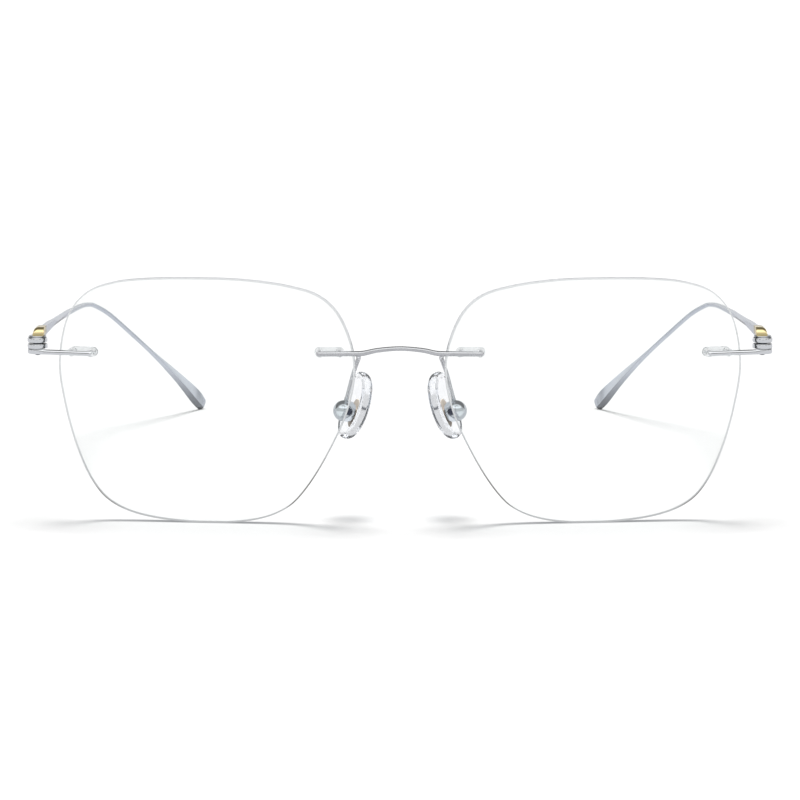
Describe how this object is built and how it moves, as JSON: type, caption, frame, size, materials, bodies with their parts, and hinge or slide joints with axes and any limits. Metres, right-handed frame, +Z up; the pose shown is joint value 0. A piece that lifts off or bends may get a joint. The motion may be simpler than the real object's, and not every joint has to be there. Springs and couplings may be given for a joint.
{
  "type": "rimless eyeglasses",
  "caption": "Rimless eyeglasses: clear drilled lenses on a wire bridge and wire endpieces, coil hinges with gold end blocks, folding wire temples and rocking clear nose pads.",
  "frame": {"origin": "on the table the glasses stand on, under the middle of their bounding box", "axes": "+X to the wearer's left, across the front; +Y back along the temples; +Z up from the table"},
  "size_m": [0.1428, 0.1373, 0.0472],
  "materials": {
    "lens": "polished clear lens",
    "clear_plug": "clear moulded plastic",
    "clear_silicone": "clear soft silicone",
    "satin_titanium": "satin silver grey",
    "polished_titanium": "polished silver",
    "polished_cup": "bright polish",
    "temple_metal": "smooth satin silver with a blue cast",
    "gold_plate": "polished pale gold",
    "pad_core": "beige moulded plate",
    "small_fittings": "dark polished steel"
  },
  "bodies": {
    "front": {"lens_right": "lens", "lens_left": "lens", "bridge": "satin_titanium", "endpiece_right": "polished_titanium", "endpiece_left": "polished_titanium", "nasal_bushing_right": "clear_plug", "nasal_bushing_left": "clear_plug", "temporal_bushing_right": "clear_plug", "temporal_bushing_left": "clear_plug", "pad_arm_right": "satin_titanium", "pad_arm_left": "satin_titanium", "pad_cup_right": "polished_cup", "pad_cup_left": "polished_cup", "pad_screw_right": "small_fittings", "pad_screw_left": "small_fittings"},
    "right_pad": {"nose_pad_right": "clear_silicone", "pad_core_right": "pad_core"},
    "left_pad": {"nose_pad_left": "clear_silicone", "pad_core_left": "pad_core"},
    "right_temple": {"temple_right": "temple_metal", "hinge_block_right": "gold_plate", "hinge_washer_right": "polished_titanium", "hinge_pin_right": "small_fittings"},
    "left_temple": {"temple_left": "temple_metal", "hinge_block_left": "gold_plate", "hinge_washer_left": "polished_titanium", "hinge_pin_left": "small_fittings"}
  },
  "joints": [
    {"name": "right_temple_fold", "type": "hinge", "parent": "front", "child": "right_temple", "pos_m": [-0.0695, -0.0596, 0.03264], "axis": [0, 0, -1], "range_deg": [0, 74]},
    {"name": "left_temple_fold", "type": "hinge", "parent": "front", "child": "left_temple", "pos_m": [0.0695, -0.0596, 0.03264], "axis": [0, 0, 1], "range_deg": [0, 78]},
    {"name": "right_pad_rock", "type": "hinge", "parent": "front", "child": "right_pad", "pos_m": [-0.01082, -0.05813, 0.02079], "axis": [-0.5, 0.866, 0], "range_deg": [-10, 10]},
    {"name": "left_pad_rock", "type": "hinge", "parent": "front", "child": "left_pad", "pos_m": [0.01082, -0.05813, 0.02079], "axis": [0.5, 0.866, 0], "range_deg": [-10, 10]}
  ]
}
